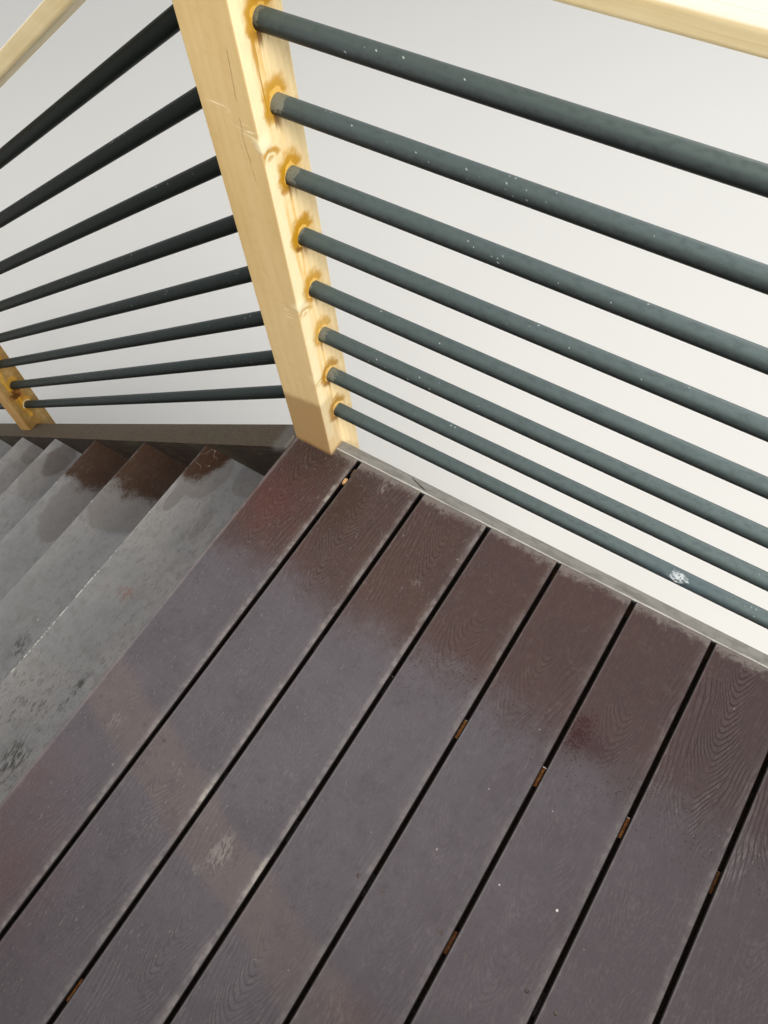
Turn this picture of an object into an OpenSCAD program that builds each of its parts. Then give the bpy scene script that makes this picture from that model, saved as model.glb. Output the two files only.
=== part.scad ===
// Wooden deck stairs: a flight of housed treads that climbs to a boarded landing,
// with a guard of round steel pipes and notched wooden posts along both sides.
// X runs level along the flight, which climbs towards +X. Y runs across it. Z is up from the ground.

/* [Flight] */
// Height of each step
rise = 193; // [180:1:210]
// Level distance from one nosing to the next
run = 276; // [265:1:300]
// Thickness of a tread plank
tread_t = 38; // [32:1:45]
// Radius of a tread's eased edges
tread_r = 3; // [2:1:6]
// Depth of the housing in each stringer that holds a tread's end
housing_depth = 12; // [8:1:20]
// Level space between a tread's back edge and the nosing above it
tread_back_gap = 1; // [1:1:4]

/* [Stringers] */
// Thickness of each stringer
stringer_t = 63; // [50:1:75]
// Depth of a stringer, square to its slope
stringer_d = 286; // [260:1:310]
// Height of a stringer's top edge above the line of the nosings
stringer_lift = 5; // [3:1:12]
// How far a stringer's outside face stands in from the fascia's
stringer_set_in = 9; // [2:1:15]
// Height of the upright cut at a stringer's toe
toe_h = 60; // [40:1:90]

/* [Landing] */
// Width between the outside faces of the two fascias
landing_w = 1220; // [1100:10:1400]
// Number of boards behind the nosing board
board_count = 9; // [6:1:10]
// Width of a deck board
board_w = 140; // [130:1:145]
// Width of the nosing board
nosing_w = 143; // [140:1:150]
// Thickness of a deck board
board_t = 24; // [22:1:30]
// Radius of a deck board's eased edges
board_r = 3; // [2:1:5]
// Open gap between two boards
board_gap = 6; // [4:1:8]
// Height of the groove for hidden clips along a board's edge
groove_h = 5; // [3:1:8]
// Depth of the groove for hidden clips
groove_d = 9; // [6:1:14]
// How far the nosing board stands out past the corner post
nosing_lap = 0.5; // [0:0.5:10]
// Thickness of a fascia board
fascia_t = 22; // [18:1:26]
// Space between a board's end and the fascia
board_end_gap = 1.5; // [1:0.5:3]
// Depth of the joists and rim boards
joist_h = 235; // [184:1:240]
// Thickness of the joists and rim boards
joist_t = 38; // [36:1:45]
// Distance from the outer fascia's face to the middle of the first joist
first_joist_in = 377; // [340:1:410]
// Distance from the outer fascia's face to the middle of the second joist
second_joist_in = 660; // [620:1:700]
// Distance from the outer fascia's face to the middle of the third joist
third_joist_in = 1015; // [960:1:1020]

/* [Posts and rails] */
// Width of a guard post, both ways
post_w = 89; // [84:1:100]
// How far a post's inside face stands in from the fascia's outside face
post_inset = 41; // [35:1:48]
// Radius of the eased corners of a post
post_r = 4; // [2:1:8]
// Level distance between the guard posts of the flight
post_spacing = 1440; // [1400:1:1500]
// Width of a top rail
rail_w = 89; // [80:1:140]
// Thickness of a top rail
rail_t = 25.4; // [22:0.1:40]
// Radius of the rounded arrises of a top rail
rail_r = 6; // [3:1:10]
// Height from the landing to the underside of its top rail
rail_h = 979; // [950:1:1010]
// How far the rails run past the last post
rail_over = 40; // [20:5:80]

/* [Pipes] */
// Outside diameter of a guard pipe
pipe_d = 26.7; // [21:0.1:30]
// Wall thickness of a guard pipe
pipe_wall = 2.9; // [2:0.1:4]
// Number of pipes one above the other
pipe_count = 8; // [6:1:8]
// Height of the lowest pipe's centre above the landing, at a post's face
pipe_low = 103; // [90:1:115]
// Height from the top pipe's centre up to the top rail, at a post's face
pipe_top_space = 130.5; // [110:0.5:160]
// How far a pipe's end goes into a post
pipe_seat = 30; // [20:1:34]
// Space between a pipe and its hole, all round and at its end
pipe_fit = 0.2; // [0.1:0.1:0.5]

/* [Supports] */
// Width of a support post, both ways
support_w = 140; // [120:1:150]
// Depth of a beam
beam_h = 184; // [140:1:235]
// Thickness of a beam
beam_t = 76; // [70:1:90]
// Distance from the landing's ends to the middles of its beams
beam_inset = 120; // [90:5:200]

/* [Hidden] */
$fn = 48;

cut = 1;
far = 10000;

// Ten treads and the landing itself
riser_count = 11;

// Heights and slope
deck_z = rise * riser_count;
slope = rise / run;
pitch = atan(slope);
joist_top = deck_z - board_t;
joist_bottom = joist_top - joist_h;
rail_z = deck_z + rail_h;
stringer_drop = stringer_d / cos(pitch);
pipe_pitch = (rail_h - pipe_low - pipe_top_space) / (pipe_count - 1);

// Lengthwise places, measured from the middle of the corner posts
post_half = post_w / 2;
nose_x = -post_half - nosing_lap;
board_pitch = board_w + board_gap;
first_board_x = nose_x + nosing_w + board_gap;
deck_end_x = first_board_x + board_count * board_pitch - board_gap;
end_post_x = deck_end_x - post_half;
stair_post_x = -post_spacing;
foot_post_x = stair_post_x - post_spacing;
foot_x = nose_x - run * riser_count;
toe_x = foot_x + (toe_h - stringer_lift) / slope;
heel_x = foot_x + (stringer_drop - stringer_lift) / slope;
rail_low_x = foot_post_x - post_half - rail_over;
rail_high_x = deck_end_x + rail_over;
mid_x = (min(toe_x, rail_low_x) + rail_high_x) / 2;

// Crosswise places on the outer side
fascia_y = landing_w / 2;
rim_y = fascia_y - fascia_t;
stringer_y = fascia_y - stringer_set_in;
stringer_in_y = stringer_y - stringer_t;
post_in_y = fascia_y - post_inset;
post_y = post_in_y + post_half;
joist_ys = [fascia_y - first_joist_in, fascia_y - second_joist_in, fascia_y - third_joist_in];

// Height of the line through the nosings
function nosing_z(x) = deck_z + slope * (x - nose_x);
// Height of a stringer's top edge
function stringer_top(x) = nosing_z(x) + stringer_lift;
// Height of a stringer's bottom edge
function stringer_bottom(x) = stringer_top(x) - stringer_drop;
// Height of the underside of the sloping rail, which meets the level one over the corner post's middle
function stair_rail_z(x) = rail_z + slope * x;
// Height of a level pipe's centre
function pipe_z(i) = deck_z + pipe_low + i * pipe_pitch;
// Height of a sloping pipe's centre
function slant_z(x, i) = pipe_z(i) + slope * (x + post_half);

// Puts the frame's origin at the middle of the footprint
module placed() {
    translate([-mid_x, 0, 0]) children();
}

// Repeats the outer side on the inner side
module on_side(side) {
    if (side == "outer") children();
    else mirror([0, 1, 0]) children();
}

// Rectangle with four eased corners
module eased(w, h, r) {
    translate([r, 0]) square([w - 2 * r, h]);
    translate([0, r]) square([w, h - 2 * r]);
    for (x = [r, w - r], y = [r, h - r]) translate([x, y]) circle(r);
}

// Outline in the XZ plane, given a thickness from y0 to y1
module upright(y0, y1) {
    translate([0, y1, 0]) rotate([90, 0, 0]) linear_extrude(y1 - y0) children();
}

// Groove for hidden clips, cut from x in the direction that dir names
module clip_groove(x, dir) {
    low = (board_t - groove_h) / 2;
    translate([dir > 0 ? x - cut : x - groove_d, low]) square([groove_d + cut, groove_h]);
}

// Cross-section of a deck board, grooved along both edges
module board_outline() {
    difference() {
        eased(board_w, board_t, board_r);
        clip_groove(0, 1);
        clip_groove(board_w, -1);
    }
}

// Cross-section of the nosing board, whose front edge is left whole
module nosing_outline() {
    difference() {
        eased(nosing_w, board_t, board_r);
        clip_groove(nosing_w, -1);
    }
}

// Board that runs across the landing, from x
module cross_board(x) {
    reach = rim_y - board_end_gap;
    translate([x, 0, joist_top]) upright(-reach, reach) children();
}

module nosing_board() {
    color("#5c3f3b") placed() cross_board(nose_x) nosing_outline();
}

module deck_boards() {
    color("#5c3f3b") placed()
        for (i = [0 : board_count - 1]) cross_board(first_board_x + i * board_pitch) board_outline();
}

module fascia(side) {
    color("#8b867b") placed() on_side(side)
        translate([nose_x, rim_y, joist_bottom])
            cube([deck_end_x - nose_x, fascia_t, joist_h + board_t]);
}

module rim_joist(side) {
    color("#7a5a3a") placed() on_side(side)
        translate([nose_x, rim_y - joist_t, joist_bottom])
            cube([deck_end_x - nose_x, joist_t, joist_h]);
}

module header(x) {
    reach = rim_y - joist_t;
    color("#7a5a3a") placed()
        translate([x, -reach, joist_bottom]) cube([joist_t, 2 * reach, joist_h]);
}

module joists() {
    color("#7a5a3a") placed()
        for (y = joist_ys)
            translate([nose_x + joist_t, y - joist_t / 2, joist_bottom])
                cube([deck_end_x - nose_x - 2 * joist_t, joist_t, joist_h]);
}

module beam(x) {
    color("#7a5a3a") placed()
        translate([x - beam_t / 2, -rim_y, joist_bottom - beam_h]) cube([beam_t, 2 * rim_y, beam_h]);
}

// A beam sits in the notch of its support posts, whose tongues rise beside it towards the middle
module support_post(x, dir, side) {
    seat_x = -dir * beam_t / 2;
    color("#7a5a3a") placed() on_side(side)
        translate([x, rim_y - support_w, 0])
            difference() {
                translate([min(seat_x, seat_x + dir * support_w), 0, 0])
                    linear_extrude(joist_bottom) eased(support_w, support_w, post_r);
                translate([min(seat_x - dir * cut, -seat_x), -cut, joist_bottom - beam_h])
                    cube([beam_t + cut, support_w + 2 * cut, beam_h + cut]);
            }
}

// Side outline of a stringer: a level cut meets the landing and another stands on the ground
module stringer_outline() {
    level_x = nose_x - stringer_lift / slope;
    polygon([
        [toe_x, 0], [toe_x, toe_h], [level_x, deck_z], [nose_x, deck_z],
        [nose_x, stringer_bottom(nose_x)], [heel_x, 0]
    ]);
}

// Place of a tread in the side outline
module tread_outline(i) {
    translate([nose_x - i * run, deck_z - i * rise - tread_t]) eased(run - tread_back_gap, tread_t, tread_r);
}

module stringer(side) {
    color("#5c5245") placed() on_side(side)
        difference() {
            upright(stringer_in_y, stringer_y) stringer_outline();
            for (i = [1 : riser_count - 1])
                upright(stringer_in_y - cut, stringer_in_y + housing_depth) tread_outline(i);
        }
}

module tread(i) {
    reach = stringer_in_y + housing_depth;
    color("#777570") placed() upright(-reach, reach) tread_outline(i);
}

// Holes for level pipes, entering a post's face from the side that dir names
module level_sockets(x, dir) {
    for (i = [0 : pipe_count - 1])
        translate([x + dir * (post_half - pipe_seat - pipe_fit), post_y, pipe_z(i)])
            rotate([0, dir * 90, 0]) cylinder(d = pipe_d + 2 * pipe_fit, h = pipe_seat + pipe_fit + cut);
}

// One round bar along the slope, between two level places
module slant_bar(x0, x1, i, d) {
    translate([x0, post_y, slant_z(x0, i)])
        rotate([0, 90 - pitch, 0]) cylinder(d = d, h = (x1 - x0) / cos(pitch));
}

// Holes for sloping pipes, from inside the post out past its face
module slant_sockets(x, dir) {
    inside = x + dir * (post_half - pipe_seat - pipe_fit);
    outside = x + dir * post_w;
    for (i = [0 : pipe_count - 1])
        slant_bar(min(inside, outside), max(inside, outside), i, pipe_d + 2 * pipe_fit);
}

// Square post from z0 to z1 with its corners eased
module post_stick(x, z0, z1) {
    translate([x - post_half, post_in_y, z0]) linear_extrude(z1 - z0) eased(post_w, post_w, post_r);
}

// Everything above the underside of the sloping rail, near one post
module above_stair_rail(x) {
    x0 = x - post_w;
    x1 = x + post_w;
    upright(post_in_y - cut, post_in_y + post_w + cut)
        polygon([[x0, stair_rail_z(x0)], [x1, stair_rail_z(x1)], [x1, far], [x0, far]]);
}

// Everything below the stringer's bottom edge, near one post
module below_stringer(x) {
    x0 = x - post_w;
    x1 = x + post_w;
    upright(post_in_y - cut, post_in_y + post_w + cut)
        polygon([[x0, -far], [x1, -far], [x1, stringer_bottom(x1)], [x0, stringer_bottom(x0)]]);
}

// The inside half of a landing post stands on the boards, and the outside half laps the fascia
module deck_notch(x) {
    translate([x - post_w, post_in_y - cut, 0]) cube([2 * post_w, post_inset + cut, deck_z]);
}

// The inside half of a stair post stands on the stringer, and the outside half laps its face
module stair_notch(x) {
    x0 = x - post_w;
    x1 = x + post_w;
    upright(post_in_y - cut, stringer_y)
        polygon([[x0, -cut], [x1, -cut], [x1, stringer_top(x1)], [x0, stringer_top(x0)]]);
}

module corner_post(side) {
    color("#d1b47f") placed() on_side(side)
        difference() {
            post_stick(0, joist_bottom, rail_z);
            deck_notch(0);
            above_stair_rail(0);
            level_sockets(0, 1);
            slant_sockets(0, -1);
        }
}

module end_post(side) {
    color("#d1b47f") placed() on_side(side)
        difference() {
            post_stick(end_post_x, joist_bottom, rail_z);
            deck_notch(end_post_x);
            level_sockets(end_post_x, -1);
        }
}

// The lap of a stair post is cut to the slope, flush with the stringer's bottom edge
module stair_post(side) {
    x = stair_post_x;
    color("#d1b47f") placed() on_side(side)
        difference() {
            post_stick(x, stringer_bottom(x - post_half), stair_rail_z(x + post_w));
            stair_notch(x);
            below_stringer(x);
            above_stair_rail(x);
            slant_sockets(x, 1);
            slant_sockets(x, -1);
        }
}

// The lap of a foot post goes down to the ground
module foot_post(side) {
    x = foot_post_x;
    color("#d1b47f") placed() on_side(side)
        difference() {
            post_stick(x, 0, stair_rail_z(x + post_w));
            stair_notch(x);
            above_stair_rail(x);
            slant_sockets(x, 1);
        }
}

module deck_pipes(side) {
    x0 = post_half - pipe_seat;
    length = end_post_x - post_half + pipe_seat - x0;
    color("#3f4a4a") placed() on_side(side)
        for (i = [0 : pipe_count - 1])
            translate([x0, post_y, pipe_z(i)]) rotate([0, 90, 0])
                difference() {
                    cylinder(d = pipe_d, h = length);
                    translate([0, 0, -cut]) cylinder(d = pipe_d - 2 * pipe_wall, h = length + 2 * cut);
                }
}

// Sloping pipes of one bay, between the posts at low_x and high_x
module slant_pipes(low_x, high_x, side) {
    x0 = low_x + post_half - pipe_seat;
    x1 = high_x - post_half + pipe_seat;
    color("#3f4a4a") placed() on_side(side)
        for (i = [0 : pipe_count - 1])
            difference() {
                slant_bar(x0, x1, i, pipe_d);
                slant_bar(x0 - cut, x1 + cut, i, pipe_d - 2 * pipe_wall);
            }
}

// One side of the mitre, which halves the bend between the level and the sloping rail
module mitre_side(dir) {
    lean = rail_t * tan(pitch / 2);
    reach = dir * far;
    top = rail_z + 2 * rail_t;
    upright(post_y - rail_w, post_y + rail_w)
        polygon([[0, rail_z], [-2 * lean, top], [reach, top],
            [reach, rail_z - far], [lean * far / rail_t, rail_z - far]]);
}

module deck_rail(side) {
    color("#c8b486") placed() on_side(side)
        intersection() {
            translate([-post_w, post_y + rail_w / 2, rail_z])
                rotate([90, 0, 90]) mirror([1, 0, 0])
                    linear_extrude(rail_high_x + post_w) eased(rail_w, rail_t, rail_r);
            mitre_side(1);
        }
}

module stair_rail(side) {
    length = (2 * post_w - rail_low_x) / cos(pitch);
    color("#c8b486") placed() on_side(side)
        intersection() {
            translate([post_w, post_y - rail_w / 2, stair_rail_z(post_w)])
                rotate([0, -pitch, 0]) rotate([90, 0, 90])
                    translate([0, 0, -length]) linear_extrude(length) eased(rail_w, rail_t, rail_r);
            mitre_side(-1);
            translate([rail_low_x, post_y - rail_w, 0]) cube([far, 2 * rail_w, far]);
        }
}

nosing_board();
deck_boards();
fascia("outer");  // fascia_outer
fascia("inner");  // fascia_inner
rim_joist("outer");  // rim_joist_outer
rim_joist("inner");  // rim_joist_inner
header(nose_x);  // header_front
header(deck_end_x - joist_t);  // header_back
joists();
beam(nose_x + beam_inset);  // beam_front
beam(deck_end_x - beam_inset);  // beam_back
support_post(nose_x + beam_inset, 1, "outer");  // support_post_front_outer
support_post(nose_x + beam_inset, 1, "inner");  // support_post_front_inner
support_post(deck_end_x - beam_inset, -1, "outer");  // support_post_back_outer
support_post(deck_end_x - beam_inset, -1, "inner");  // support_post_back_inner
stringer("outer");  // stringer_outer
stringer("inner");  // stringer_inner
tread(1);  // tread_01
tread(2);  // tread_02
tread(3);  // tread_03
tread(4);  // tread_04
tread(5);  // tread_05
tread(6);  // tread_06
tread(7);  // tread_07
tread(8);  // tread_08
tread(9);  // tread_09
tread(10);  // tread_10
corner_post("outer");  // corner_post_outer
corner_post("inner");  // corner_post_inner
stair_post("outer");  // stair_post_outer
stair_post("inner");  // stair_post_inner
foot_post("outer");  // foot_post_outer
foot_post("inner");  // foot_post_inner
end_post("outer");  // end_post_outer
end_post("inner");  // end_post_inner
deck_pipes("outer");  // deck_pipes_outer
deck_pipes("inner");  // deck_pipes_inner
slant_pipes(stair_post_x, 0, "outer");  // upper_stair_pipes_outer
slant_pipes(stair_post_x, 0, "inner");  // upper_stair_pipes_inner
slant_pipes(foot_post_x, stair_post_x, "outer");  // lower_stair_pipes_outer
slant_pipes(foot_post_x, stair_post_x, "inner");  // lower_stair_pipes_inner
deck_rail("outer");  // deck_rail_outer
deck_rail("inner");  // deck_rail_inner
stair_rail("outer");  // stair_rail_outer
stair_rail("inner");  // stair_rail_inner
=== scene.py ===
import bmesh
import bpy
from math import atan, cos, pi, sin
from mathutils import Matrix, Vector, noise


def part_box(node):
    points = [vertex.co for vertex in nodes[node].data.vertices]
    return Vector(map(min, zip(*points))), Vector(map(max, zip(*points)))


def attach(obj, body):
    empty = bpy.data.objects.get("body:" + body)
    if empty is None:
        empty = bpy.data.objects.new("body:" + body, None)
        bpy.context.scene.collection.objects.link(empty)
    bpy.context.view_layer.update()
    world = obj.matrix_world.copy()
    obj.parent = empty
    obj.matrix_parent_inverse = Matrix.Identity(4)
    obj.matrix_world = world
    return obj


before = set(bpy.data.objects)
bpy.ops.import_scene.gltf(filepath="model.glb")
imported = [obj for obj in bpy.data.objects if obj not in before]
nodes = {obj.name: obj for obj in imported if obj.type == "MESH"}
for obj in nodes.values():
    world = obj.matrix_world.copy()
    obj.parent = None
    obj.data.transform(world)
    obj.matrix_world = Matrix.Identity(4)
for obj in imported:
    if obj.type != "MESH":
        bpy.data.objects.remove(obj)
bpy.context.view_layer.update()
scene = bpy.context.scene
scene.view_settings.view_transform = "Standard"
print("frame loaded,", len(nodes), "nodes")

# camera solved from the deck's lines, the posts and the pipes
cameraSetup = {
    "place": (1.4886, -0.0929, 3.5111),
    "right": (0.83875069, 0.53985601, -0.07108282),
    "down": (0.44207115, -0.75133975, -0.48996088),
    "ahead": (-0.31791568, 0.37953137, -0.86884151),
    "focalPixels": 834.44,
    "frameHeight": 1024,
    "sensor": 36.0,
    "nearest": 0.02,
    "farthest": 200.0,
}


def makeCamera(setup):
    data = bpy.data.cameras.new("deckCamera")
    data.sensor_width = setup["sensor"]
    data.lens = setup["focalPixels"] / setup["frameHeight"] * setup["sensor"]
    data.clip_start = setup["nearest"]
    data.clip_end = setup["farthest"]
    camera = bpy.data.objects.new("deckCamera", data)
    right, down, ahead = (Vector(setup[k]).normalized() for k in ("right", "down", "ahead"))
    turn = Matrix((right, -down, -ahead)).transposed()
    camera.matrix_world = Matrix.Translation(setup["place"]) @ turn.to_4x4()
    scene.collection.objects.link(camera)
    scene.camera = camera


makeCamera(cameraSetup)
print("camera set")

# places that the finishes share, all read from the frame
boardLow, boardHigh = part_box("deck_boards")
postLow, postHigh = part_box("corner_post_outer")
stairPostLow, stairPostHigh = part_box("stair_post_outer")
footPostLow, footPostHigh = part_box("foot_post_outer")
endPostLow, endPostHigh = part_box("end_post_outer")
firstTreadLow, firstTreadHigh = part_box("tread_01")
secondTreadLow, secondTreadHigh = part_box("tread_02")
pipesLow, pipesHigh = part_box("deck_pipes_outer")
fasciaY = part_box("fascia_outer")[0][1]
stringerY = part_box("stringer_outer")[1][1]
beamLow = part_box("beam_front")[0][2]
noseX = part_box("nosing_board")[0][0]

deckTop = boardHigh[2]
run = firstTreadLow[0] - secondTreadLow[0]
slope = (firstTreadHigh[2] - secondTreadHigh[2]) / run
slant = atan(slope)
boardCount = 9
boardWidth = 0.14
boardPitch = (boardHigh[0] - boardLow[0] - boardWidth) / (boardCount - 1)
postHalf = (postHigh[0] - postLow[0]) / 2
postX = (postLow[0] + postHigh[0]) / 2
postY = (postLow[1] + postHigh[1]) / 2
arrisY = postY - postHalf
pipeCount = 8
pipeWidth = pipesHigh[1] - pipesLow[1]
lowPipeZ = pipesLow[2] + pipeWidth / 2
pipePitch = (pipesHigh[2] - pipesLow[2] - pipeWidth) / (pipeCount - 1)


def shade(text):
    parts = [int(text[i:i + 2], 16) / 255 for i in (1, 3, 5)]
    return tuple(p / 12.92 if p <= 0.04045 else ((p + 0.055) / 1.055) ** 2.4 for p in parts) + (1.0,)


class nodeBench:
    # puts nodes in one tree and joins them; a text fed to a socket is a colour, or its name in the look
    def __init__(self, tree, look=None):
        self.tree = tree
        self.look = look or {}

    def feed(self, socket, value):
        if isinstance(value, wire):
            self.tree.links.new(value.socket, socket)
        elif value is not None:
            socket.default_value = shade(self.look.get(value, value)) if isinstance(value, str) else value

    def put(self, kind, inputs=None, **settings):
        node = self.tree.nodes.new(kind)
        for key, value in settings.items():
            setattr(node, key, value)
        for key, value in (inputs or {}).items():
            self.feed(node.inputs[key], value)
        return node

    def out(self, kind, inputs=None, pick=0, **settings):
        return wire(self, self.put(kind, inputs, **settings).outputs[pick])


class wire:
    # what one socket puts out, to reckon with as with a number
    def __init__(self, bench, socket):
        self.bench = bench
        self.socket = socket

    def __add__(self, other):
        return calc("ADD", self, other)

    def __radd__(self, other):
        return calc("ADD", other, self)

    def __sub__(self, other):
        return calc("SUBTRACT", self, other)

    def __rsub__(self, other):
        return calc("SUBTRACT", other, self)

    def __mul__(self, other):
        return calc("MULTIPLY", self, other)

    def __truediv__(self, other):
        return calc("DIVIDE", self, other)

    def __lt__(self, other):
        return calc("LESS_THAN", self, other)

    def __gt__(self, other):
        return calc("GREATER_THAN", self, other)

    def __abs__(self):
        return calc("ABSOLUTE", self)

    def spread(self, amount):
        # a noise about zero, this far from end to end
        return (self - 0.5) * amount

    def fade(self, low, high, start=0.0, end=1.0):
        ends = {"Value": self, "From Min": low, "From Max": high, "To Min": start, "To Max": end}
        return self.bench.out("ShaderNodeMapRange", ends, interpolation_type="SMOOTHSTEP")

    def fall(self, low, high):
        return self.fade(low, high, 1.0, 0.0)

    def split(self):
        parts = self.bench.put("ShaderNodeSeparateXYZ", {0: self})
        return [wire(self.bench, socket) for socket in parts.outputs]

    def stretch(self, factors, shift=(0.0, 0.0, 0.0)):
        inputs = {0: self, 1: factors, 2: shift}
        return self.bench.out("ShaderNodeVectorMath", inputs, operation="MULTIPLY_ADD")

    def shift(self, x, y, z):
        return self.stretch((1, 1, 1), (x, y, z))

    def noise(self, scale, detail=3.0, roughness=0.5, distortion=0.0):
        # a scale of three numbers stretches the place first
        if isinstance(scale, tuple):
            return self.stretch(scale).noise(1, detail, roughness, distortion)
        return self.bench.out("ShaderNodeTexNoise", {"Vector": self, "Scale": scale, "Detail": detail,
                                                     "Roughness": roughness, "Distortion": distortion})

    def chance(self):
        return self.bench.out("ShaderNodeTexWhiteNoise", {"W": self}, "Value", noise_dimensions="1D")

    def figure(self, ringWidth, lean, wander):
        # rings and fibres of wood that grows along this place's Z
        parts = useGroup(woodFigure, Where=self, RingWidth=ringWidth, Lean=lean, Wander=wander)
        return parts["Rings"], parts["Fibre"]

    def patch(self, centre, reach, soft, drift=0.0):
        return useGroup(stainPatch, Where=self, Centre=centre, Reach=reach, Soft=soft, Drift=drift)["Mask"]


def patches(where, places, level, soft, drift=0, tall=1):
    # one mask for each place: middle, reach, strength
    return [where.patch((cx, cy, level), (rx, ry, tall), soft, drift) * amount
            for cx, cy, rx, ry, amount in places]


def benchOf(values):
    return next(value.bench for value in values if isinstance(value, wire))


def calc(operation, *values):
    return benchOf(values).out("ShaderNodeMath", dict(enumerate(values)), operation=operation)


def most(*values):
    total = values[0]
    for value in values[1:]:
        total = calc("MAXIMUM", total, value)
    return total


def join(x, y, z):
    return benchOf((x, y, z)).out("ShaderNodeCombineXYZ", {0: x, 1: y, 2: z})


def tint(mask, under, over):
    inputs = {0: mask, 6: under, 7: over}
    return benchOf((mask, under, over)).out("ShaderNodeMix", inputs, 2, data_type="RGBA", clamp_factor=True)


def blend(mask, under, over):
    inputs = {0: mask, 2: under, 3: over}
    return benchOf((mask, under, over)).out("ShaderNodeMix", inputs, data_type="FLOAT", clamp_factor=True)


def makeGroup(name, inputs, outputs, build):
    tree = bpy.data.node_groups.new(name, "ShaderNodeTree")
    for label, value in inputs.items():
        kind = "NodeSocketVector" if isinstance(value, tuple) else "NodeSocketFloat"
        tree.interface.new_socket(name=label, in_out="INPUT", socket_type=kind).default_value = value
    for label in outputs:
        tree.interface.new_socket(name=label, in_out="OUTPUT", socket_type="NodeSocketFloat")
    bench = nodeBench(tree)
    start = bench.put("NodeGroupInput")
    results = build({label: wire(bench, start.outputs[label]) for label in inputs})
    bench.put("NodeGroupOutput", dict(zip(outputs, results)))
    return tree


def useGroup(group, **values):
    bench = benchOf(values.values())
    node = bench.put("ShaderNodeGroup", values, node_tree=group)
    return {socket.name: wire(bench, socket) for socket in node.outputs}


def buildFigure(given):
    # growth rings round a leaning heart, and fibres, both running along the vector's Z
    where = given["Where"]
    x, y, z = where.split()
    wander = where.stretch((1.0, 1.0, 0.35)).noise(7.0, 2.0)
    side = x + z * given["Lean"] + (wander - 0.5) * given["Wander"]
    reach = calc("SQRT", side * side + y * y)
    ring = calc("FRACT", reach / given["RingWidth"])
    rings = ring.fade(0.25, 0.9) * ring.fall(0.92, 1.0)
    fibre = where.stretch((900.0, 900.0, 14.0)).noise(1.0, 3.0, 0.6)
    return rings, fibre


woodFigure = makeGroup("woodFigure", {"Where": (0, 0, 0), "RingWidth": 0.005, "Lean": 0.02, "Wander": 0.02},
                       ["Rings", "Fibre"], buildFigure)


def buildPatch(given):
    # one rounded patch; Drift makes its edge ragged
    bench = given["Where"].bench
    vector = "ShaderNodeVectorMath"
    offset = bench.out(vector, {0: given["Where"], 1: given["Centre"]}, operation="SUBTRACT")
    scaled = bench.out(vector, {0: offset, 1: given["Reach"]}, operation="DIVIDE")
    length = bench.out(vector, {0: scaled}, "Value", operation="LENGTH")
    return [(length + given["Drift"]).fall(1.0 - given["Soft"], 1.0)]


stainPatch = makeGroup("stainPatch", {"Where": (0, 0, 0), "Centre": (0, 0, 0), "Reach": (0.1, 0.1, 0.1),
                                      "Soft": 0.3, "Drift": 0.0}, ["Mask"], buildPatch)


def buildWear(given):
    # wear that fades away from an edge; Drift makes it ragged
    return [(given["Distance"] + given["Drift"]).fall(0.0, given["Width"])]


edgeWear = makeGroup("edgeWear", {"Distance": 0.0, "Width": 0.01, "Drift": 0.0}, ["Mask"], buildWear)


def buildFlecks(given):
    # scattered specks: a share of the cells holds one
    bench = given["Where"].bench
    cells = bench.put("ShaderNodeTexVoronoi", {"Vector": given["Where"], "Scale": given["Scale"]})
    pick, tone, spare = wire(bench, cells.outputs["Color"]).split()
    size = given["Size"] * (0.4 + tone)
    speck = wire(bench, cells.outputs["Distance"]).fall(size * 0.7, size)
    return [speck * (pick < given["Share"]), tone]


specks = makeGroup("specks", {"Where": (0, 0, 0), "Scale": 60.0, "Size": 0.12, "Share": 0.3},
                   ["Mask", "Tone"], buildFlecks)


class surfaceFinish:
    # one material: a first colour, coats over it, then roughness, relief and gloss
    def __init__(self, name, look=None):
        self.material = bpy.data.materials.new(name)
        self.material.use_nodes = True
        self.material.node_tree.nodes.clear()
        self.bench = nodeBench(self.material.node_tree, look)
        self.shader = self.bench.put("ShaderNodeBsdfPrincipled")
        self.surface = wire(self.bench, self.shader.outputs[0])
        self.end = self.bench.put("ShaderNodeOutputMaterial", {0: self.surface})
        self.where = self.bench.out("ShaderNodeTexCoord", pick="Object")
        self.color = None

    def normal(self):
        return self.bench.out("ShaderNodeNewGeometry", pick="Normal").split()

    def ground(self, mask, under, over):
        self.color = tint(mask, under, over)

    def coat(self, tone, mask):
        self.color = tint(mask, self.color, tone)

    def done(self, roughness, height=None, depth=0, gloss=0.25):
        inputs = {"Base Color": self.color, "Roughness": roughness, "Specular IOR Level": gloss}
        if height is not None:
            relief = {"Height": height, "Distance": depth, "Strength": 1}
            inputs["Normal"] = self.bench.out("ShaderNodeBump", relief)
        for label, value in inputs.items():
            self.bench.feed(self.shader.inputs[label], value)
        return self.material


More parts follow.
